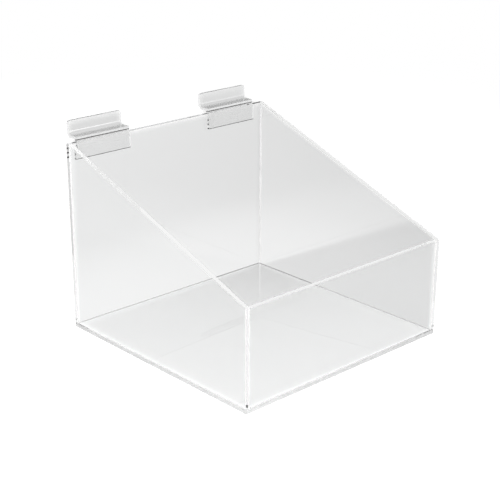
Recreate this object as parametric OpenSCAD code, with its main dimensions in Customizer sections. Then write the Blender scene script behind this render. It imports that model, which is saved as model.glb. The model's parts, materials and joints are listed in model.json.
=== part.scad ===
// Clear acrylic display bin that hangs on a slatted wall.
// Five flat panels are cemented into an open box with a sloping rim,
// and two hangers are cemented to the rear of the back panel.
// Millimetres. +Z is up, the front faces -Y and the wall is on the +Y side.
// The origin is the centre of the base panel's underside.

/* [Bin] */
// Width across the outside of both side panels
bin_w = 203.2; // [170:0.1:400]
// Depth from the front panel's face to the rear of the back panel
bin_d = 203.2; // [120:0.1:400]
// Height of the back panel's top edge above the surface that the bin stands on
bin_h = 152.4; // [110:0.1:300]
// Height of the front panel's top edge above the same surface
front_h = 79.4; // [30:0.1:105]

/* [Sheet] */
// Thickness of the acrylic in every panel
sheet_t = 3.2; // [2:0.1:6]
// Thickness of the acrylic in the hangers
hanger_t = 2; // [1.5:0.1:4]
// Thickness of the cured cement between two pieces
cement_t = 0.1; // [0.05:0.01:0.3]

/* [Hangers] */
// Width of one hanger along the back panel
hanger_w = 50.8; // [20:0.1:70]
// Distance from the bin's side to the hanger's outer end
hanger_inset = 9.5; // [4:0.1:12]
// Length of the cemented tab, down from the back panel's top edge
tab_h = 14.1; // [12:0.1:40]
// Height of the shelf's underside above the back panel's top edge
shelf_lift = 1.2; // [0.8:0.1:6]
// Height of the hook above the top of the hanger's shelf
hook_h = 10.9; // [10:0.1:30]
// Room for the lip of the slat, from the rear of the tab to the front of the hook
lip_gap = 8.2; // [7:0.1:16]
// Radius of the fillet under the shelf, behind the tab
fillet_r = 1; // [0.3:0.1:2]
// Inside radius of the bend between the shelf and the hook
bend_r = 2.5; // [0.5:0.1:4]
// Radius of the hook's two upper corners
hook_corner_r = 2; // [0.5:0.1:6]

/* [Hidden] */
$fn = 64;
acrylic = [0.87, 0.89, 0.90, 0.45];
cement = [0.97, 0.97, 0.97, 0.80];

// Half sizes of the bin, and the inner faces and ends that the panels share
half_w = bin_w / 2;
half_d = bin_d / 2;
side_inner_x = half_w - sheet_t;
front_end_x = side_inner_x - cement_t;
front_inner_y = sheet_t - half_d;
back_inner_y = half_d - sheet_t;
side_rear_y = back_inner_y - cement_t;
wall_z = sheet_t + cement_t;

// Faces of a hanger, from its cemented tab to its hook
tab_front_y = half_d + cement_t;
tab_rear_y = tab_front_y + hanger_t;
hook_front_y = tab_rear_y + lip_gap;
shelf_under_z = bin_h + shelf_lift;
shelf_top_z = shelf_under_z + hanger_t;
tab_low_z = bin_h - tab_h;
hanger_outer_x = half_w - hanger_inset;
hanger_inner_x = hanger_outer_x - hanger_w;

// A box from its lowest corner to its highest corner
module block(low, high) {
    translate(low) cube(high - low);
}

// An outline drawn in Y and Z, carried along X from x
module along_x(x, length) {
    translate([x, 0, 0]) rotate([90, 0, 90]) linear_extrude(length) children();
}

// Full-footprint floor of the bin, which the four walls stand on
module base_panel() {
    color(acrylic) block([-half_w, -half_d, 0], [half_w, half_d, sheet_t]);
}

// The tall wall, of the bin's full width, that covers the side panels' rear edges
module back_panel() {
    color(acrylic) block([-half_w, back_inner_y, wall_z], [half_w, half_d, bin_h]);
}

// The low wall between the two side panels
module front_panel() {
    color(acrylic) block([-front_end_x, -half_d, wall_z], [front_end_x, front_inner_y, front_h]);
}

// A side panel whose rim climbs in one straight line from the front panel's top to the back panel's
module side_wall(x) {
    color(acrylic) along_x(x, sheet_t)
        polygon([[-half_d, wall_z], [side_rear_y, wall_z], [side_rear_y, bin_h], [-half_d, front_h]]);
}

module left_panel() {
    side_wall(-half_w);
}

module right_panel() {
    side_wall(side_inner_x);
}

// The inside corner under the shelf, filled to a quarter-round hollow
module shelf_fillet() {
    y = tab_rear_y + fillet_r;
    z = shelf_under_z - fillet_r;
    difference() {
        block([0, tab_rear_y - 1, z], [hanger_w, y, shelf_under_z + 1]);
        translate([-1, y, z]) rotate([0, 90, 0]) cylinder(r = fillet_r, h = hanger_w + 2);
    }
}

// The quarter turn, about an axis along X, that carries the shelf up into the hook
module hook_bend() {
    translate([0, hook_front_y - bend_r, shelf_top_z + bend_r]) rotate([90, 0, 90]) rotate([0, 0, 270])
        rotate_extrude(angle = 90) translate([bend_r, 0]) square([hanger_t, hanger_w]);
}

// The upright hook, with its two upper corners rounded
module hook_plate() {
    low_z = shelf_top_z + bend_r;
    high_z = shelf_top_z + hook_h;
    r = hook_corner_r;
    block([0, hook_front_y, low_z], [hanger_w, hook_front_y + hanger_t, high_z - r]);
    block([r, hook_front_y, high_z - r], [hanger_w - r, hook_front_y + hanger_t, high_z]);
    for (x = [r, hanger_w - r])
        translate([x, hook_front_y, high_z - r]) rotate([-90, 0, 0]) cylinder(r = r, h = hanger_t);
}

// One length of thin profile: a tab on the back panel that rises a little above it, a square-cornered
// shelf that runs back from the tab's top, and a hook that turns up behind the slat's lip
module hanger(x) {
    color(acrylic) translate([x, 0, 0]) union() {
        block([0, tab_front_y, tab_low_z], [hanger_w, tab_rear_y, shelf_top_z]);
        block([0, tab_rear_y, shelf_under_z], [hanger_w, hook_front_y - bend_r, shelf_top_z]);
        shelf_fillet();
        hook_bend();
        hook_plate();
    }
}

module left_hanger() {
    hanger(-hanger_outer_x);
}

module right_hanger() {
    hanger(hanger_inner_x);
}

// Cement under a wall, on the base panel
module base_seam(low_x, low_y, high_x, high_y) {
    color(cement) block([low_x, low_y, sheet_t], [high_x, high_y, wall_z]);
}

module base_seam_back() {
    base_seam(-half_w, back_inner_y, half_w, half_d);
}

module base_seam_front() {
    base_seam(-side_inner_x, -half_d, side_inner_x, front_inner_y);
}

module base_seam_left() {
    base_seam(-half_w, -half_d, -side_inner_x, back_inner_y);
}

module base_seam_right() {
    base_seam(side_inner_x, -half_d, half_w, back_inner_y);
}

// Cement between a side panel's rear edge and the back panel
module back_corner_seam(x) {
    color(cement) block([x, side_rear_y, wall_z], [x + sheet_t, back_inner_y, bin_h]);
}

// Cement between a side panel and the end of the front panel
module front_corner_seam(x) {
    color(cement) block([x, -half_d, wall_z], [x + cement_t, front_inner_y, front_h]);
}

module corner_seam_back_left() {
    back_corner_seam(-half_w);
}

module corner_seam_back_right() {
    back_corner_seam(side_inner_x);
}

module corner_seam_front_left() {
    front_corner_seam(-side_inner_x);
}

module corner_seam_front_right() {
    front_corner_seam(front_end_x);
}

// Cement between the back panel and a hanger's tab
module hanger_bond(x) {
    color(cement) block([x, half_d, tab_low_z], [x + hanger_w, tab_front_y, bin_h]);
}

module left_hanger_bond() {
    hanger_bond(-hanger_outer_x);
}

module right_hanger_bond() {
    hanger_bond(hanger_inner_x);
}

base_panel();
back_panel();
front_panel();
left_panel();
right_panel();
left_hanger();
right_hanger();
base_seam_back();
base_seam_front();
base_seam_left();
base_seam_right();
corner_seam_back_left();
corner_seam_back_right();
corner_seam_front_left();
corner_seam_front_right();
left_hanger_bond();
right_hanger_bond();
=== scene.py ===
# %% [markdown]
# # A clear acrylic display bin for a slatted wall
#
# The bin is five flat sheets of clear acrylic cemented into an open box with a sloping rim. Two hangers of
# thinner acrylic are cemented behind its back and hook over a slat of the wall. Almost nothing about it
# has a colour of its own: its look is the way that light runs through the sheet and leaves at the cut
# edges. So each sheet is modelled as a real solid with eased edges, and the joints are modelled as glued
# glass, with no air left in them.

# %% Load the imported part
import json
import math

import bpy
import numpy as np
from mathutils import Matrix, Vector

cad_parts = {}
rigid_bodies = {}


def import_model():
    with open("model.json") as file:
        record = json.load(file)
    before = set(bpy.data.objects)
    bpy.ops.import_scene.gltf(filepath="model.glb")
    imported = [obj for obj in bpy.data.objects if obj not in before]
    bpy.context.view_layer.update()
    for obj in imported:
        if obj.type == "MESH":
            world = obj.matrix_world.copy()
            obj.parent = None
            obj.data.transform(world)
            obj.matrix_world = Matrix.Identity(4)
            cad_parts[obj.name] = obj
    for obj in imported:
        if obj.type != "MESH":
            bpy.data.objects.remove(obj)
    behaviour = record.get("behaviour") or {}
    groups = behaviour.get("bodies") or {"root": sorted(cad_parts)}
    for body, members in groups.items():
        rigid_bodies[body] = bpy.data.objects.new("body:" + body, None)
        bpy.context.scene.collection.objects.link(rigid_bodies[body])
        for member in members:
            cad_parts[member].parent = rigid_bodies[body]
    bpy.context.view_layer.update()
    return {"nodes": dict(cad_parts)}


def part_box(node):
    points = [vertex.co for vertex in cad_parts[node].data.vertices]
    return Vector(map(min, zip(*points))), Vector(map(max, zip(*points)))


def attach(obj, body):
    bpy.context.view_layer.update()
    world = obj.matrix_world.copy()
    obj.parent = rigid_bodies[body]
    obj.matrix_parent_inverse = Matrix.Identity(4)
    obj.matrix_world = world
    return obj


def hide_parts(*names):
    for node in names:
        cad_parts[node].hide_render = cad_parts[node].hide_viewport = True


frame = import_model()
scene = bpy.context.scene
MM = 0.001
print("nodes in the part:", len(frame["nodes"]))

# %% [markdown]
# ## Sizes
#
# Every size that the part already has is read from the frame, so the looks can't drift from the part. Only
# what a box can't tell, such as the radius of a bend, is written here, in millimetres.

# %% Read the sizes from the frame


def box_mm(node):
    """Lowest and highest corner of a node, in millimetres."""
    low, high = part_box(node)
    return np.array(low) / MM, np.array(high) / MM


base_low, base_high = box_mm("base_panel")
left_low, left_high = box_mm("left_panel")
right_low, right_high = box_mm("right_panel")
back_low, back_high = box_mm("back_panel")
front_low, front_high = box_mm("front_panel")

sheet_t = base_high[2] - base_low[2]
half_d = base_high[1]
front_h = front_high[2]
bin_h = back_high[2]
rim_slope = (bin_h - front_h) / (left_high[1] - left_low[1])
HANGER_T = 2.0
SHELF_LIFT = 1.2
FILLET_R = 1.0
BEND_R = 2.5
HOOK_CORNER_R = 2.0
EDGE_EASE = 0.12
CORNER_EASE = 0.3
print("sheet %.2f mm, front %.1f mm, back %.1f mm" % (sheet_t, front_h, bin_h))
print("rim rises %.3f per mm" % rim_slope)

# %% [markdown]
# ## One function for every sheet
#
# A sheet of acrylic is a flat outline with a thickness, and a hand takes the sharpness off its edges with a
# scraper. A box with a bevel would do for three of the pieces, but not for the sloping rims or the bent
# strips. So the sheet is a surface of two parameters: `rows(d)` gives the outline pulled in by `d`, as rows
# `v` with a lowest and a highest `u`, and a quarter-round profile is carried round that outline. The result
# is a closed solid in flat coordinates (u, v, h), which the next steps put in place or bend.

# %% Build a closed sheet in flat coordinates


def outline_grid(rows, columns, d):
    """Points of the outline pulled in by d: each row runs from its own lowest u, by way of the fixed
    columns, to its own highest u."""
    v, u_low, u_high = rows(d)
    middle = np.broadcast_to(np.asarray(columns, float), (len(v), len(columns)))
    u = np.column_stack([u_low, middle, u_high])
    return np.stack([u, np.broadcast_to(v[:, None], u.shape)], axis=-1)


def grid_quads(index):
    """Four corners of every cell of a grid of vertex numbers, anticlockwise in u and v."""
    corners = [index[:-1, :-1], index[:-1, 1:], index[1:, 1:], index[1:, :-1]]
    return np.stack(corners, axis=-1).reshape(-1, 4)


def grid_border(index):
    """Vertex numbers round the border of a grid, anticlockwise, without repeating the first."""
    return np.concatenate([index[0, :-1], index[:-1, -1], index[-1, :0:-1], index[:0:-1, 0]])


def eased_profile(thickness, ease, steps=3):
    """How far in and how high the edge is, from the under face to the upper face: a quarter circle of
    radius ease, a straight stretch and another quarter circle."""
    turn = np.linspace(0, math.pi / 2, steps + 1)
    inset = ease * (1 - np.concatenate([np.sin(turn), np.cos(turn)]))
    low = ease * (1 - np.cos(turn))
    high = thickness - ease * (1 - np.sin(turn))
    return inset, np.concatenate([low, high])


def sheet_solid(rows, columns, thickness, ease):
    """Under face and upper face on the outline pulled in by the ease, joined by the eased profile carried
    round the border. Returns points (u, v, h) and quads that face outwards."""
    inset, height = eased_profile(thickness, ease)
    flat = outline_grid(rows, columns, ease)
    index = np.arange(flat.shape[0] * flat.shape[1]).reshape(flat.shape[:2])
    count = index.size
    under = np.column_stack([flat.reshape(-1, 2), np.zeros(count)])
    upper = np.column_stack([flat.reshape(-1, 2), np.full(count, thickness)])
    border = grid_border(index)
    around = [outline_grid(rows, columns, d).reshape(-1, 2)[border] for d in inset[1:-1]]
    rings = np.stack([np.column_stack([p, np.full(len(p), h)]) for p, h in zip(around, height[1:-1])])
    ring_index = 2 * count + np.arange(rings.shape[0] * len(border)).reshape(rings.shape[0], -1)
    levels = np.vstack([border, ring_index, border + count])
    levels = np.column_stack([levels, levels[:, 0]])
    quads = np.vstack([grid_quads(index)[:, ::-1], grid_quads(index) + count, grid_quads(levels)])
    return np.vstack([under, upper, rings.reshape(-1, 3)]), quads


print("an eased edge has", len(eased_profile(sheet_t, EDGE_EASE)[0]), "points across the sheet")

# %% [markdown]
# ## Glued faces
#
# Solvent cement melts two acrylic faces into one, so light crosses a joint as if it weren't there. If both
# sheets kept their glassy faces in the joint, a thin layer of air between them would mirror the light back
# and the corners would look black. So the faces that meet in a joint get a material of their own that does
# nothing to a ray, and only the faces that meet air refract.
#
# A face is told apart by its middle, so each piece says where it is glued as a rule on points in space.

# %% Put a solid into the scene
# Places of a piece's materials. The last is its own: sawn edges on the base, painted shade lines on a
# hanger.
GLASS_FACE, EDGE_FACE, GLUED_FACE, OWN_FACE = 0, 1, 2, 3
SHARP_FROM = math.radians(14)


def face_middles(points, quads):
    """Mean of each quad's four corners."""
    return points[quads].mean(axis=1)


def add_piece(name, points, quads, face_kinds, materials, node):
    """Make a mesh object at the origin from points in millimetres, and stand it in for a node."""
    mesh = bpy.data.meshes.new(name)
    mesh.from_pydata(points * MM, [], quads)
    for material in materials:
        mesh.materials.append(material)
    mesh.polygons.foreach_set("material_index", np.asarray(face_kinds, np.int32))
    mesh.polygons.foreach_set("use_smooth", np.ones(len(quads), bool))
    mesh.set_sharp_from_angle(angle=SHARP_FROM)
    mesh.update()
    piece = bpy.data.objects.new(name, mesh)
    scene.collection.objects.link(piece)
    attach(piece, "root")
    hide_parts(node)
    print("%-28s %5d quads, stands for %s" % (name, len(quads), node))
    return piece


# %% [markdown]
# ## Clear acrylic
#
# Cast acrylic is clearer than window glass and has an index of 1.49. Its faces are never quite even: the
# cast leaves slow streaks of tint, and wiping leaves smears that only show in a highlight. Both are noise
# on Object coordinates, one as colour and one as a trace of roughness. A Transparent shader takes over for
# rays from lamps, because a path tracer finds lamps badly through refraction; its grey sets how deep the
# shadow of the sheet is.
#
# A ray that enters a cut edge is mirrored between the two faces until it meets another edge. In a glued box
# some rays never do: they run round the sheets until they are absorbed, and a tracer drops them as black
# specks. So a ray that has been turned a set number of times goes straight on and out. Whether that number
# is even or odd decides which side it leaves on, and so what the edge glows with. The light that is left
# is dimmed at each later face, which makes one rim white and another grey.
#
# The base's outer edges are left as they came from the saw, so they are satin and grey. Two narrow faces of
# each hanger, the foot of its tab and part of the fillet under its shelf, are painted near black as painted
# shade, because the bin shows a thin dark line along each.

# %% Node helpers


def new_material(name):
    """A material with an empty node tree, and its output node."""
    material = bpy.data.materials.new(name)
    material.use_nodes = True
    nodes = material.node_tree.nodes
    nodes.clear()
    return material, nodes.new("ShaderNodeOutputMaterial")


def add_node(tree, kind, **settings):
    """A node of this kind. Settings with a capital are input sockets, the others are the node's own."""
    node = tree.nodes.new("ShaderNode" + kind)
    for name, value in settings.items():
        if name[0].isupper():
            node.inputs[name.replace("_", " ")].default_value = value
        else:
            setattr(node, name, value)
    return node


def math_node(tree, operation, first, second):
    """The result of one calculation on two values, each a socket or a number."""
    node = add_node(tree, "Math", operation=operation)
    for socket, value in zip(node.inputs, (first, second)):
        if isinstance(value, (int, float)):
            socket.default_value = value
        else:
            tree.links.new(value, socket)
    return node.outputs[0]


def mapped(tree, value, source, target=(0.0, 1.0), interpolation="LINEAR"):
    """A value carried from a source range into a target range, and held at the target's ends."""
    node = add_node(tree, "MapRange", interpolation_type=interpolation)
    node.inputs["From Min"].default_value, node.inputs["From Max"].default_value = source
    node.inputs["To Min"].default_value, node.inputs["To Max"].default_value = target
    tree.links.new(value, node.inputs["Value"])
    return node.outputs["Result"]


def mix_shaders(tree, share, first, second):
    """Two shaders mixed: a share of 0 is the first alone, and a share of 1 the second alone."""
    mix = add_node(tree, "MixShader")
    tree.links.new(share, mix.inputs[0])
    tree.links.new(first.outputs[0], mix.inputs[1])
    tree.links.new(second.outputs[0], mix.inputs[2])
    return mix


def grey(value):
    """A colour with the same red, green and blue."""
    return (value, value, value, 1.0)


def grey_of(tree, value):
    """The same from a socket: a colour whose red, green and blue are its value."""
    colour = add_node(tree, "CombineColor")
    for channel in ("Red", "Green", "Blue"):
        tree.links.new(value, colour.inputs[channel])
    return colour.outputs["Color"]


EVEN = (1, 1, 1)


def object_noise(tree, stretch, scale, detail=2.0):
    """Noise on Object coordinates, with each axis stretched by its own factor."""
    place = add_node(tree, "TexCoord")
    mapping = add_node(tree, "Mapping", Scale=stretch)
    noise = add_node(tree, "TexNoise", Scale=scale, Detail=detail)
    tree.links.new(place.outputs["Object"], mapping.inputs["Vector"])
    tree.links.new(mapping.outputs["Vector"], noise.inputs["Vector"])
    return noise.outputs["Fac"]


# %% What a ray sees of the sheet


def show(tree, output, glass, turns, left_over, shadow):
    """Show the glass for a ray's first turns. After them only the rest of its light goes straight on. A
    lamp's ray passes with the sheet's shadow tone instead."""
    path = add_node(tree, "LightPath").outputs
    late = math_node(tree, "GREATER_THAN", path["Ray Depth"], turns - 0.5)
    straight = add_node(tree, "BsdfTransparent", Color=grey(left_over))
    seen = mix_shaders(tree, late, glass, straight)
    passing = add_node(tree, "BsdfTransparent", Color=grey(shadow))
    mix = mix_shaders(tree, path["Is Shadow Ray"], seen, passing)
    tree.links.new(mix.outputs[0], output.inputs["Surface"])


# %% Polished faces and edges
ACRYLIC_INDEX = 1.49
ACRYLIC_TINT = (0.985, 0.988, 0.987, 1.0)
STREAK_TINT = (0.978, 0.982, 0.981, 1.0)
STREAK_STRETCH = (1, 1, 0.3)
# Places of the two colours among a mix's inputs, and of the result among its outputs.
FIRST_COLOUR, SECOND_COLOUR, MIXED_COLOUR = 6, 7, 2


def toned(colour, tone):
    """A colour with its red, green and blue dimmed to a tone."""
    return tuple(tone * c for c in colour[:3]) + (1.0,)


def clear_glass(tree, roughest, scale, tone):
    """Clear acrylic with slow streaks of tint, and noise that roughens it here and there."""
    glass = add_node(tree, "BsdfPrincipled", Transmission_Weight=1.0, IOR=ACRYLIC_INDEX)
    tint = add_node(tree, "Mix", data_type="RGBA")
    tree.links.new(object_noise(tree, STREAK_STRETCH, scale=9.0), tint.inputs[0])
    tint.inputs[FIRST_COLOUR].default_value = toned(ACRYLIC_TINT, tone)
    tint.inputs[SECOND_COLOUR].default_value = toned(STREAK_TINT, tone)
    tree.links.new(tint.outputs[MIXED_COLOUR], glass.inputs["Base Color"])
    smears = object_noise(tree, EVEN, scale, detail=4.0)
    tree.links.new(mapped(tree, smears, (0.5, 0.8), (0.0, roughest)), glass.inputs["Roughness"])
    return glass


def polished(name, piece, turns, left_over, shadow, roughest, scale, tone):
    """Clear acrylic that is roughened here and there: smears on a face, traces of the saw on an edge."""
    material, output = new_material(piece + name)
    tree = material.node_tree
    show(tree, output, clear_glass(tree, roughest, scale, tone), turns, left_over, shadow)
    return material


print("index of the acrylic:", ACRYLIC_INDEX)

# %% Sawn edges, painted shade lines and glued faces
UPRIGHT_STRETCH = (1, 1, 0.05)
SAW_MARK = 0.03
DARK_TURNS = 30


def satin(tree, low, high, roughness):
    """Acrylic whitened by a tool, with fine upright marks between a low and a high grey."""
    matt = add_node(tree, "BsdfPrincipled", Roughness=roughness, IOR=ACRYLIC_INDEX)
    scratches = object_noise(tree, UPRIGHT_STRETCH, scale=400.0)
    marks = mapped(tree, scratches, (0.3, 0.7), (low, high))
    tree.links.new(grey_of(tree, marks), matt.inputs["Base Color"])
    return matt


def sawn(piece, turns, shadow, tone):
    """A cut left as it came from the saw, with marks a little to both sides of one tone."""
    material, output = new_material(piece + "_sawn")
    tree = material.node_tree
    matt = satin(tree, tone - SAW_MARK, tone + SAW_MARK, roughness=0.55)
    show(tree, output, matt, turns, 1.0, shadow)
    return material


def painted_shade_line(piece, shadow):
    """A narrow face painted near black as painted shade: matt and a little uneven."""
    material, output = new_material(piece + "_painted_shade_line")
    tree = material.node_tree
    # The near black of these faces is painted shade, not a colour of the acrylic.
    matt = satin(tree, low=0.02, high=0.06, roughness=0.9)
    matt.inputs["Specular IOR Level"].default_value = 0.0
    show(tree, output, matt, DARK_TURNS, 1.0, shadow)
    return material


def glued_face():
    """A face melted into its neighbour: rays go straight on."""
    material, output = new_material("glued_face")
    tree = material.node_tree
    clear = add_node(tree, "BsdfTransparent", Color=grey(0.995))
    tree.links.new(clear.outputs[0], output.inputs["Surface"])
    return material


melted = glued_face()
print("made", melted.name)

# %% The finishes of the pieces
PANEL_SHADOW = 0.60
RIGHT_SHADOW = 0.64
BACK_SHADOW = 0.63
BASE_SHADOW = 0.76
HANGER_SHADOW = 0.64
BASE_TURNS = 4


def finish(piece, turns, left_over=1.0, shadow=PANEL_SHADOW, tone=1.0):
    """The materials of one piece: its faces, its polished edges and its glued faces."""
    face = polished("_face", piece, turns, left_over, shadow, roughest=0.03, scale=22.0, tone=tone)
    edge = polished("_edge", piece, turns, left_over, shadow, roughest=0.02, scale=300.0, tone=tone)
    return [face, edge, melted]


base_finish = finish("base", BASE_TURNS, shadow=BASE_SHADOW)
base_finish.append(sawn("base", BASE_TURNS, BASE_SHADOW, tone=0.44))
left_finish = finish("left", turns=16, left_over=0.97)
right_finish = finish("right", turns=15, left_over=0.89, shadow=RIGHT_SHADOW)
front_finish = finish("front", turns=10)
back_finish = finish("back", turns=16, left_over=0.90, shadow=BACK_SHADOW)
# The hangers' tint is dimmed to 0.86: painted shade that greys the hangers in place of a deeper shadow
# behind them.
hanger_finish = finish("hanger", turns=12, shadow=HANGER_SHADOW, tone=0.86)
hanger_finish.append(painted_shade_line("hanger", HANGER_SHADOW))
print("finishes:", ", ".join(m.name for m in bpy.data.materials))

# %% [markdown]
# ## The five panels
#
# Each panel is cut from one sheet. The base is the full footprint and the walls stand on it. The front sits
# between the side panels, and the back covers their rear edges. The fixed columns and rows of each outline
# fall on the joints, so a whole strip of faces is either glued or free.

# %% Outlines of the panels


def rectangle_rows(v_low, v_high, u_low, u_high, lines=()):
    """Rows of a rectangle: v at both edges and on the lines, with the same lowest and highest u."""

    def rows(d):
        v = np.array([v_low + d, *lines, v_high - d])
        return v, np.full(len(v), u_low + d), np.full(len(v), u_high - d)

    return rows


def rim_height(y):
    """Height of the sloping rim at depth y: the front panel's height plus the slope times the way back."""
    return front_h + rim_slope * (y + half_d)


def sloped_rows(y_low, y_high, z_low, lines=()):
    """Rows of a side panel: u is height, and its highest value follows the rim, pulled in square to it."""
    square_to_rim = math.hypot(1, rim_slope)

    def rows(d):
        y = np.array([y_low + d, *lines, y_high - d])
        return y, np.full(len(y), z_low + d), rim_height(y) - d * square_to_rim

    return rows


def lying(z_low):
    """Flat coordinates to space for a sheet that lies down: u is x, v is y, h is up."""
    return lambda p: np.column_stack([p[:, 0], p[:, 1], z_low + p[:, 2]])


def facing_front(y_high):
    """For a sheet across the bin: u is x, v is z, and h runs from its rear face to the front."""
    return lambda p: np.column_stack([p[:, 0], y_high - p[:, 2], p[:, 1]])


def facing_side(x_high):
    """For a sheet along the bin's side: u is z, v is y, and h runs from its right face to the left."""
    return lambda p: np.column_stack([x_high - p[:, 2], p[:, 1], p[:, 0]])


print("rim height over the middle: %.1f mm" % rim_height(0.0))

# %% Tell the faces of a panel apart
LEVEL = 1e-6


def kinds_of_faces(flat_points, quads, points, glued, sawn_edges):
    """A quad that lies in one level of the thickness is a face, and the rest are edges, polished or sawn by
    the rule on its middle in the flat. Glued where the other rule says so of its middle in space."""
    span = np.ptp(flat_points[quads][:, :, 2], axis=1)
    edge = np.where(sawn_edges(face_middles(flat_points, quads)), OWN_FACE, EDGE_FACE)
    kinds = np.where(span < LEVEL, GLASS_FACE, edge)
    return np.where(glued(face_middles(points, quads)), GLUED_FACE, kinds)


def none_sawn(m):
    """Every edge is polished."""
    return np.zeros(len(m), bool)


def all_sawn(m):
    """Every edge is left as it came from the saw."""
    return np.ones(len(m), bool)


def make_panel(name, node, rows, columns, place, glued, materials, sawn_edges=none_sawn):
    """One flat sheet with eased edges, put in place, with its glued faces marked."""
    flat_points, quads = sheet_solid(rows, columns, sheet_t, EDGE_EASE)
    points = place(flat_points)
    kinds = kinds_of_faces(flat_points, quads, points, glued, sawn_edges)
    return add_piece(name, points, quads, kinds, materials, node)


# %% Where the panels are glued
TOUCH = 0.02
inner_x = right_low[0]
back_inner_y = back_low[1]
front_inner_y = front_high[1]
front_end_x = front_high[0]
side_rear_y = left_high[1]
wall_z = back_low[2]
hanger_low, hanger_high = box_mm("right_hanger")
tab_inner_x, tab_outer_x = hanger_low[0], hanger_high[0]
tab_low_z = hanger_low[2]


def base_glued(m):
    """The ring of the base's upper face that the walls stand on."""
    under_wall = (np.abs(m[:, 0]) > inner_x) | (m[:, 1] > back_inner_y) | (m[:, 1] < front_inner_y)
    return (m[:, 2] > sheet_t - TOUCH) & under_wall


def front_glued(m):
    """The lower edge and both ends of the front panel."""
    return (m[:, 2] < wall_z + EDGE_EASE) | (np.abs(m[:, 0]) > front_end_x - EDGE_EASE)


def side_glued(m):
    """A side panel's lower and rear edges, and the strip of its inner face that the front panel meets."""
    at_front = (np.abs(m[:, 0]) < inner_x + TOUCH) & (m[:, 1] < front_inner_y)
    return (m[:, 2] < wall_z + EDGE_EASE) | (m[:, 1] > side_rear_y - EDGE_EASE) | at_front


def back_glued(m):
    """The back panel's lower edge, the strips that the side panels meet and the patches of the tabs."""
    across = np.abs(m[:, 0])
    at_sides = (m[:, 1] < back_inner_y + TOUCH) & (across > inner_x)
    on_tab = (across > tab_inner_x) & (across < tab_outer_x) & (m[:, 2] > tab_low_z)
    at_tabs = (m[:, 1] > half_d - TOUCH) & on_tab
    return (m[:, 2] < wall_z + EDGE_EASE) | at_sides | at_tabs


print("walls stand %.2f mm above the ground" % wall_z)

# %% Make the panels
joint_y = (front_inner_y, back_inner_y)
joint_x = (-inner_x, inner_x)
back_columns = (-inner_x, -tab_outer_x, -tab_inner_x, tab_inner_x, tab_outer_x, inner_x)
base_rows = rectangle_rows(base_low[1], base_high[1], base_low[0], base_high[0], joint_y)
side_rows = sloped_rows(left_low[1], left_high[1], left_low[2], (front_inner_y,))
front_rows = rectangle_rows(front_low[2], front_high[2], front_low[0], front_high[0])
back_rows = rectangle_rows(back_low[2], back_high[2], back_low[0], back_high[0], (tab_low_z,))
across_front, across_back = facing_front(front_high[1]), facing_front(back_high[1])
along_left, along_right = facing_side(left_high[0]), facing_side(right_high[0])

make_panel(
    "base_sheet", "base_panel", base_rows, joint_x, lying(0), base_glued, base_finish, all_sawn
)
left_sheet = make_panel(
    "left_sheet", "left_panel", side_rows, (), along_left, side_glued, left_finish
)
make_panel(
    "right_sheet", "right_panel", side_rows, (), along_right, side_glued, right_finish
)
front_sheet = make_panel(
    "front_sheet", "front_panel", front_rows, (), across_front, front_glued, front_finish
)
make_panel(
    "back_sheet", "back_panel", back_rows, back_columns, across_back, back_glued, back_finish
)

# %% [markdown]
# ## The two hangers
#
# A hanger is one length of profile, thinner than the panels: a tab that is cemented behind the back panel
# and rises a little above it, a shelf that runs back from the tab's top over the lip of a slat, and a hook
# behind the lip. The shelf leaves the tab in a corner that is square outside and has a small fillet inside,
# and it turns up into the hook in a round bend. The strip is built flat by the function above, and then
# every point is carried along a path of straight, corner, straight, arc, straight. In both turns a point
# keeps its share of the way from the inside to the outside, so only the reach of the outside differs: a
# fixed radius in the bend, and the distance to the nearer of two flat faces in the corner.

# %% Carry the flat strip round its turns
hanger_front_y, hanger_rear_y = hanger_low[1], hanger_high[1]
hook_top_z = hanger_high[2]
tab_rear_y = hanger_front_y + HANGER_T
hook_front_y = hanger_rear_y - HANGER_T
shelf_under_z = bin_h + SHELF_LIFT
shelf_top_z = shelf_under_z + HANGER_T
corner_length = (FILLET_R + HANGER_T / 2) * math.pi / 2
bend_length = (BEND_R + HANGER_T / 2) * math.pi / 2
tab_end_v = shelf_under_z - FILLET_R - tab_low_z
shelf_start_v = tab_end_v + corner_length
shelf_end_v = shelf_start_v + hook_front_y - tab_rear_y - FILLET_R - BEND_R
hook_start_v = shelf_end_v + bend_length
strip_length = hook_start_v + hook_top_z - shelf_top_z - BEND_R
CORNER_REACH = FILLET_R + HANGER_T
CORNER_MIDDLE = CORNER_REACH - CORNER_EASE


def square_reach(turn):
    """Distance from the fillet's axis to the outside of the square corner, at an angle from the tab's side:
    to the nearer flat face, or to the small circle that eases the corner's tip."""
    c, s = np.cos(turn), np.sin(turn)
    on_tip = np.minimum(c, s) * CORNER_REACH > np.maximum(c, s) * CORNER_MIDDLE
    across_tip = np.sqrt(np.maximum(CORNER_EASE**2 - (CORNER_MIDDLE * (c - s)) ** 2, 0))
    return np.where(on_tip, CORNER_MIDDLE * (c + s) + across_tip, CORNER_REACH / np.maximum(c, s))


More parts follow.
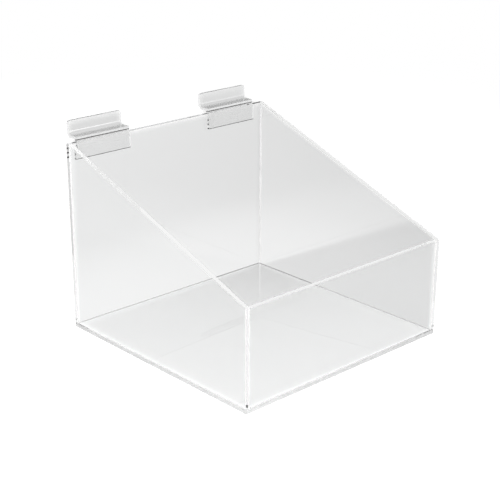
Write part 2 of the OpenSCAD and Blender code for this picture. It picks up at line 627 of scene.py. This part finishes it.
def bent(p):
    """Carry flat points along the strip's path. h is measured from the rear of the tab, so it grows
    outwards in the corner and inwards in the bend."""
    x, v, h = p.T
    first = np.clip((v - tab_end_v) / corner_length, 0, 1) * math.pi / 2
    second = (v - shelf_end_v) / bend_length * math.pi / 2
    centre_1 = (tab_rear_y + FILLET_R, shelf_under_z - FILLET_R)
    centre_2 = (hook_front_y - BEND_R, shelf_top_z + BEND_R)
    r_1 = FILLET_R + h / HANGER_T * (square_reach(first) - FILLET_R)
    r_2 = BEND_R + HANGER_T - h
    stretch = [v <= tab_end_v, v <= shelf_start_v, v <= shelf_end_v, v <= hook_start_v]
    y = np.select(
        stretch,
        [
            tab_rear_y - h,
            centre_1[0] - r_1 * np.cos(first),
            centre_1[0] + v - shelf_start_v,
            centre_2[0] + r_2 * np.sin(second),
        ],
        hanger_rear_y - h,
    )
    z = np.select(
        stretch,
        [
            tab_low_z + v,
            centre_1[1] + r_1 * np.sin(first),
            shelf_under_z + h,
            centre_2[1] - r_2 * np.cos(second),
        ],
        centre_2[1] + v - hook_start_v,
    )
    return np.column_stack([x, y, z])


print("flat strip is %.1f mm long before it is bent" % strip_length)

# %% Make the hangers
BEND_STEPS = 18
FLAT_STEPS = 8
TIP_STEPS = 8
CORNER_STEPS = 10
# Share of the fillet, from the tab's side, that is painted with shade.
DARK_SHARE = 0.4


def corner_turns():
    """Angles through the square corner, with the tip's short arc between two flat stretches."""
    tip = math.atan2(CORNER_MIDDLE, CORNER_REACH)
    flat = np.linspace(0, tip, FLAT_STEPS + 1)
    arc = np.linspace(tip, math.pi / 2 - tip, TIP_STEPS + 1)[1:-1]
    return np.concatenate([flat, arc, math.pi / 2 - flat[::-1]])


def strip_rows(x_low, x_high):
    """Rows up the flat strip: close together in both turns, and at the hook's end along two corner arcs,
    where each row's half width shrinks as a quarter circle."""

    def rows(d):
        turn = np.linspace(0, math.pi / 2, CORNER_STEPS + 1)
        corner = corner_turns() / (math.pi / 2) * corner_length
        bend = np.linspace(0, bend_length, BEND_STEPS + 1)
        straight = np.concatenate([[d, bin_h - tab_low_z], tab_end_v + corner, shelf_end_v + bend])
        corner_r = HOOK_CORNER_R - d
        v = np.concatenate([straight, strip_length - HOOK_CORNER_R + corner_r * np.sin(turn)])
        pulled_in = np.concatenate([np.full(len(straight), d), HOOK_CORNER_R - corner_r * np.cos(turn)])
        return v, x_low + pulled_in, x_high - pulled_in

    return rows


def tab_glued(m):
    """The front face of the tab, up to the back panel's top edge."""
    return (m[:, 1] < hanger_front_y + TOUCH) & (m[:, 2] < bin_h)


def painted_shade_faces(m):
    """Painted shade: the foot of the tab and the tab's side of the fillet under the shelf, in the flat."""
    foot = (m[:, 1] < EDGE_EASE) & (m[:, 2] > 0) & (m[:, 2] < HANGER_T)
    dark_end_v = tab_end_v + DARK_SHARE * corner_length
    fillet = (m[:, 2] < TOUCH) & (m[:, 1] > tab_end_v) & (m[:, 1] < dark_end_v)
    return foot | fillet


def make_hanger(name, node):
    """One length of profile between the ends of its node."""
    low, high = box_mm(node)
    columns = (low[0] + HOOK_CORNER_R, high[0] - HOOK_CORNER_R)
    flat_points, quads = sheet_solid(strip_rows(low[0], high[0]), columns, HANGER_T, EDGE_EASE)
    points = bent(flat_points)
    kinds = kinds_of_faces(flat_points, quads, points, tab_glued, none_sawn)
    # Painted shade: the foot of the tab and part of the fillet take the near-black finish.
    kinds = np.where(painted_shade_faces(face_middles(flat_points, quads)), OWN_FACE, kinds)
    return add_piece(name, points, quads, kinds, hanger_finish, node)


make_hanger("left_hanger_strip", "left_hanger")
make_hanger("right_hanger_strip", "right_hanger")

# %% [markdown]
# ## Cement
#
# The cured cement is a film a tenth of a millimetre thick. It is nearly as clear as the sheet, but it is
# never perfect: a faint milkiness, and fine bubbles where the solvent boiled off. The four upright corners
# are milky enough to show as white lines. A volume would be the faithful way and a slow one. The film's
# faces do it here: they let rays straight through, and a cell texture on Object coordinates makes small
# round spots that scatter white instead.

# %% The cement's finish
CEMENT_TURNS = 6


def cement_finish(name, haze_low, haze_high):
    """Clear film with a little haze, and bubbles where the distance to a cell's middle is small. Both show
    for a ray's first turns only."""
    material, output = new_material(name)
    tree = material.node_tree
    clear = add_node(tree, "BsdfTransparent", Color=grey(0.99))
    milk = add_node(tree, "BsdfPrincipled", Base_Color=grey(0.93), Roughness=0.45)
    place = add_node(tree, "TexCoord")
    cells = add_node(tree, "TexVoronoi", Scale=700.0, Randomness=1.0)
    tree.links.new(place.outputs["Object"], cells.inputs["Vector"])
    bubble = mapped(tree, cells.outputs["Distance"], (0.10, 0.16), (0.30, 0.0))
    clouds = object_noise(tree, EVEN, scale=90.0)
    haze = mapped(tree, clouds, (0.35, 0.75), (haze_low, haze_high))
    depth = add_node(tree, "LightPath").outputs["Ray Depth"]
    early = math_node(tree, "LESS_THAN", depth, CEMENT_TURNS)
    share = math_node(tree, "MULTIPLY", math_node(tree, "ADD", bubble, haze), early)
    mix = mix_shaders(tree, share, clear, milk)
    tree.links.new(mix.outputs[0], output.inputs["Surface"])
    return material


thin_cement = [cement_finish("thin_cement", haze_low=0.0, haze_high=0.05)]
thick_cement = [cement_finish("thick_cement", haze_low=0.75, haze_high=0.95)]
print("cement finishes:", thin_cement[0].name, thick_cement[0].name)

# %% Make the cement films
FILM_GAP = 0.01
FILM_EASE = 0.01
ACROSS, ALONG, UP = 0, 1, 2
# By a film's thin axis: the axis of its rows, the axis along a row, and how it is put in place.
FILM_LIES = {
    ACROSS: (ALONG, UP, facing_side),
    ALONG: (UP, ACROSS, facing_front),
    UP: (ALONG, ACROSS, lying),
}


def make_film(node, thin_axis, materials=thin_cement):
    """A thin sheet inside its node's box, a hair clear of both faces that it joins."""
    low, high = box_mm(node)
    v, u, place_from = FILM_LIES[thin_axis]
    rows = rectangle_rows(low[v], high[v], low[u], high[u])
    thickness = high[thin_axis] - low[thin_axis] - 2 * FILM_GAP
    start = low[UP] + FILM_GAP if thin_axis == UP else high[thin_axis] - FILM_GAP
    flat_points, quads = sheet_solid(rows, (), thickness, FILM_EASE)
    points = place_from(start)(flat_points)
    return add_piece(node + "_film", points, quads, np.zeros(len(quads)), materials, node)


for side in ("front", "back", "left", "right"):
    make_film("base_seam_" + side, UP)

for side in ("left", "right"):
    make_film("corner_seam_front_" + side, ACROSS, thick_cement)
    make_film("corner_seam_back_" + side, ALONG, thick_cement)
    make_film(side + "_hanger_bond", ALONG)

# %% [markdown]
# ## The camera
#
# The photograph's corners of the bin were matched to the part's own corners, which gave the place,
# direction, roll and focal length of a camera that sees them where the photograph does.

# %% Set the camera
EYE = Vector((-614.6, -657.7, 405.8)) * MM
CAMERA_AZIMUTH = math.radians(-42.862)
CAMERA_ELEVATION = math.radians(20.557)
CAMERA_ROLL = math.radians(0.21)
FOCAL_PIXELS = 1228.17
PICTURE_PIXELS = 500
SENSOR_WIDTH = 36.0


def look_axes(azimuth, elevation, roll):
    """Right, up and back of a camera that looks from this azimuth and elevation, turned by the roll."""
    back = Vector((
        math.sin(azimuth) * math.cos(elevation),
        -math.cos(azimuth) * math.cos(elevation),
        math.sin(elevation),
    ))
    right = (-back).cross(Vector((0, 0, 1))).normalized()
    up = right.cross(-back)
    c, s = math.cos(roll), math.sin(roll)
    return right * c + up * s, up * c - right * s, back


camera_data = bpy.data.cameras.new("camera")
camera_data.sensor_width = SENSOR_WIDTH
camera_data.lens = FOCAL_PIXELS / PICTURE_PIXELS * SENSOR_WIDTH
camera = bpy.data.objects.new("camera", camera_data)
axes = look_axes(CAMERA_AZIMUTH, CAMERA_ELEVATION, CAMERA_ROLL)
camera.matrix_world = Matrix(axes).transposed().to_4x4()
camera.matrix_world.translation = EYE
scene.collection.objects.link(camera)
scene.camera = camera
print("lens %.1f mm" % camera_data.lens)

# %% [markdown]
# ## Floor
#
# Clear sheet is only as grey as what lies behind it. The floor is plain and pale, and catches the bin's
# shadow near it. Further out it turns into plain white for rays that look at it, straight or by way of the
# glass, which stands for a sweep of white paper without end. Mirror images of it are plain white too, or
# the edge of a shadow would cross the panels as an arc. White seen by way of the glass is a little dimmer
# than white seen straight, so the clear sheet keeps its outline.

# %% White for rays that look
GLASS_WHITE = 0.95


def any_looking_ray(tree):
    """1 for rays from the camera, a reflection or a refraction, and 0 for rays that light a surface."""
    path = add_node(tree, "LightPath").outputs
    straight_or_mirrored = math_node(tree, "MAXIMUM", path["Is Camera Ray"], path["Is Glossy Ray"])
    return math_node(tree, "MAXIMUM", straight_or_mirrored, path["Is Transmission Ray"])


def white_strength(tree):
    """Full white for the camera, and a little less by way of the glass."""
    straight = add_node(tree, "LightPath").outputs["Is Camera Ray"]
    return math_node(tree, "ADD", GLASS_WHITE, math_node(tree, "MULTIPLY", straight, 1.0 - GLASS_WHITE))


print("white by way of the glass:", GLASS_WHITE)

# %% Make the floor
FLOOR_HALF = 4.0
FLOOR_DROP = 0.0002
WHITE_FROM = 0.68
WHITE_TO = 1.0


def paper_floor():
    """Matt paper with a trace of mottle, fading to white with distance from the bin."""
    material, output = new_material("paper_floor")
    tree = material.node_tree
    paper = add_node(tree, "BsdfPrincipled", Roughness=0.9, Specular_IOR_Level=0.0)
    mottle = mapped(tree, object_noise(tree, EVEN, scale=40.0), (0.0, 1.0), (0.962, 0.975))
    tree.links.new(grey_of(tree, mottle), paper.inputs["Base Color"])
    white = add_node(tree, "Emission", Color=grey(1.0))
    tree.links.new(white_strength(tree), white.inputs["Strength"])
    place = add_node(tree, "TexCoord")
    distance = add_node(tree, "VectorMath", operation="LENGTH")
    tree.links.new(place.outputs["Object"], distance.inputs[0])
    fade = mapped(tree, distance.outputs["Value"], (WHITE_FROM, WHITE_TO), interpolation="SMOOTHSTEP")
    mirrors = add_node(tree, "LightPath").outputs["Glossy Depth"]
    plain = math_node(tree, "MAXIMUM", fade, math_node(tree, "GREATER_THAN", mirrors, 0.5))
    share = math_node(tree, "MULTIPLY", plain, any_looking_ray(tree))
    mix = mix_shaders(tree, share, paper, white)
    tree.links.new(mix.outputs[0], output.inputs["Surface"])
    return material


floor_mesh = bpy.data.meshes.new("floor")
corner = np.array([[-1, -1], [1, -1], [1, 1], [-1, 1]]) * FLOOR_HALF
floor_mesh.from_pydata(np.column_stack([corner, np.full(4, -FLOOR_DROP)]), [], [(0, 1, 2, 3)])
floor_mesh.materials.append(paper_floor())
floor = bpy.data.objects.new("floor", floor_mesh)
scene.collection.objects.link(floor)
print("floor of %.0f m each way" % (2 * FLOOR_HALF))

# %% [markdown]
# ## Light
#
# A key lamp stands where the camera is, so the bin's own shadow falls straight behind it: seen from the
# front it lies inside the outline of the far panels and tones them grey, while the paper round them stays
# white. The panels nearest the camera cast no shadow from the key, or each region would be darkened once
# for every sheet in front of it, and the cement casts none from any lamp. A softbox behind the bin and one
# at its left soften the shadow, and two narrow spots brighten the inner back corner. All of these light
# the paper alone, because a lamp at the camera would burn out the milky seams and the sawn edges. A soft
# front lamp lights the pieces alone.

# %% Which lamp lights what


def let_light_through(lamp, pieces, name):
    """The lamp's light passes these pieces without a shadow."""
    group = bpy.data.collections.new(name)
    for piece in pieces:
        group.objects.link(piece)
    for item in group.collection_objects:
        item.light_linking.link_state = "EXCLUDE"
    lamp.light_linking.blocker_collection = group


def light_only(lamp, things):
    """The lamp's light reaches these things and no others."""
    group = bpy.data.collections.new(lamp.name + " lights")
    for thing in things:
        group.objects.link(thing)
    lamp.light_linking.receiver_collection = group


# %% Kinds of lamp
SPOT_RADIUS = 0.012


def add_lamp(name, data, at, aim):
    """Put a lamp at a point, facing another. It lights things, and isn't seen itself."""
    lamp = bpy.data.objects.new(name, data)
    scene.collection.objects.link(lamp)
    lamp.location = at
    lamp.rotation_euler = (Vector(aim) - Vector(at)).to_track_quat("-Z", "Y").to_euler()
    lamp.visible_camera = False
    lamp.visible_glossy = False
    lamp.visible_transmission = False
    return lamp


def add_softbox(name, at, aim, size, floor_value):
    """A square lamp strong enough to bring a white floor at the aim to floor_value."""
    away = Vector(at) - Vector(aim)
    data = bpy.data.lights.new(name, "AREA")
    data.size = size
    slant = away.z / away.length
    data.energy = floor_value * 4 * math.pi * away.length_squared / slant
    return add_lamp(name, data, at, aim)


def add_spot(name, at, aim, cone, blend, watts, even=False):
    """A small round lamp with a soft cone. An even one keeps its strength with distance, as a projector
    with a long throw does."""
    data = bpy.data.lights.new(name, "SPOT")
    data.energy = watts
    data.spot_size = math.radians(cone)
    data.spot_blend = blend
    data.shadow_soft_size = SPOT_RADIUS
    if even:
        data.use_nodes = True
        tree = data.node_tree
        fall = add_node(tree, "LightFalloff", Strength=1.0)
        tree.links.new(fall.outputs["Constant"], tree.nodes["Emission"].inputs["Strength"])
    return add_lamp(name, data, at, aim)


# %% Set the lamps that light the paper
BASE_MIDDLE = (0.0, 0.0, 0.0)
KEY_AIM = (0.1, 0.1, 0.0)
BACK_CORNER = (0.13, 0.13, 0.0)
REAR_STAND = (0.4, 1.5, 1.1)
LEFT_STAND = (-1.4, 0.19, 0.6)
RIGHT_STAND = (0.55, -1.25, 0.6)
key = add_spot("key", EYE, KEY_AIM, cone=165, blend=0.2, watts=127.0, even=True)
rear = add_softbox("rear", REAR_STAND, BACK_CORNER, size=0.25, floor_value=0.185)
left_soft = add_softbox("left_soft", LEFT_STAND, BASE_MIDDLE, size=0.2, floor_value=0.11)
left_fan = add_spot("left_fan", LEFT_STAND, BACK_CORNER, cone=10, blend=1.0, watts=21.0)
right_fan = add_spot("right_fan", RIGHT_STAND, BACK_CORNER, cone=10, blend=1.0, watts=6.7)
films = [ob for ob in scene.objects if ob.name.endswith("_film")]
let_light_through(key, films + [left_sheet, front_sheet], "key passes")
for lamp in (rear, left_soft, left_fan, right_fan):
    let_light_through(lamp, films, lamp.name + " passes")
for lamp in (key, rear, left_soft, left_fan, right_fan):
    light_only(lamp, [floor])
print("cement films that cast no shadow:", len(films))

# %% Set the lamp that lights the pieces
FRONT_STAND = (-1.2, -1.3, 0.7)
BIN_MIDDLE = (0, 0, 0.08)
clear_pieces = [ob for ob in scene.objects if ob.name.endswith(("_sheet", "_strip", "_film"))]
soft_front = add_softbox("soft_front", FRONT_STAND, BIN_MIDDLE, size=1.0, floor_value=0.38)
light_only(soft_front, clear_pieces)
let_light_through(soft_front, clear_pieces, "soft front passes")

# %% [markdown]
# ## Sky
#
# The sky is plain white for rays that look at it, and lights nothing. A soft dark area low in it is seen
# only by way of the glass, and gives the cut edges something dark to show.

# %% World
DARK_AREA = {"azimuth": 48, "elevation": 9, "reach": 8, "soft": 9}
DARKNESS = 0.9


def dark_area(tree, azimuth, elevation, reach, soft):
    """1 in a round area of the sky, falling to 0 across its soft border. All in degrees."""
    a, e = math.radians(azimuth), math.radians(elevation)
    middle = (math.cos(a) * math.cos(e), math.sin(a) * math.cos(e), math.sin(e))
    place = add_node(tree, "TexCoord")
    nearness = add_node(tree, "VectorMath", operation="DOT_PRODUCT")
    tree.links.new(place.outputs["Generated"], nearness.inputs[0])
    nearness.inputs[1].default_value = middle
    border = (math.cos(math.radians(reach + soft)), math.cos(math.radians(reach)))
    return mapped(tree, nearness.outputs["Value"], border, interpolation="SMOOTHSTEP")


world = bpy.data.worlds.new("studio")
scene.world = world
world.use_nodes = True
tree = world.node_tree
background = tree.nodes["Background"]
background.inputs["Color"].default_value = grey(1.0)
dark = dark_area(tree, **DARK_AREA)
by_glass = math_node(tree, "SUBTRACT", 1.0, add_node(tree, "LightPath").outputs["Is Camera Ray"])
shade = math_node(tree, "MULTIPLY", math_node(tree, "MULTIPLY", dark, by_glass), DARKNESS)
bright = math_node(tree, "SUBTRACT", 1.0, shade)
looked_at = math_node(tree, "MULTIPLY", any_looking_ray(tree), white_strength(tree))
strength = math_node(tree, "MULTIPLY", looked_at, bright)
tree.links.new(strength, background.inputs["Strength"])
print("dark area round azimuth %(azimuth)d, elevation %(elevation)d degrees" % DARK_AREA)

# %% [markdown]
# ## Long paths
#
# Light that enters one edge of a sheet is mirrored along it many times before it comes out of another. The
# usual limit of a few bounces would cut those paths short and leave the edges black.

# %% Path lengths and view
LONG_PATH = 64
cycles = scene.cycles
cycles.max_bounces = LONG_PATH
cycles.glossy_bounces = LONG_PATH
cycles.transmission_bounces = LONG_PATH
cycles.transparent_max_bounces = LONG_PATH
cycles.caustics_reflective = False
cycles.caustics_refractive = False
scene.view_settings.view_transform = "Standard"
print("paths of up to", LONG_PATH, "turns")
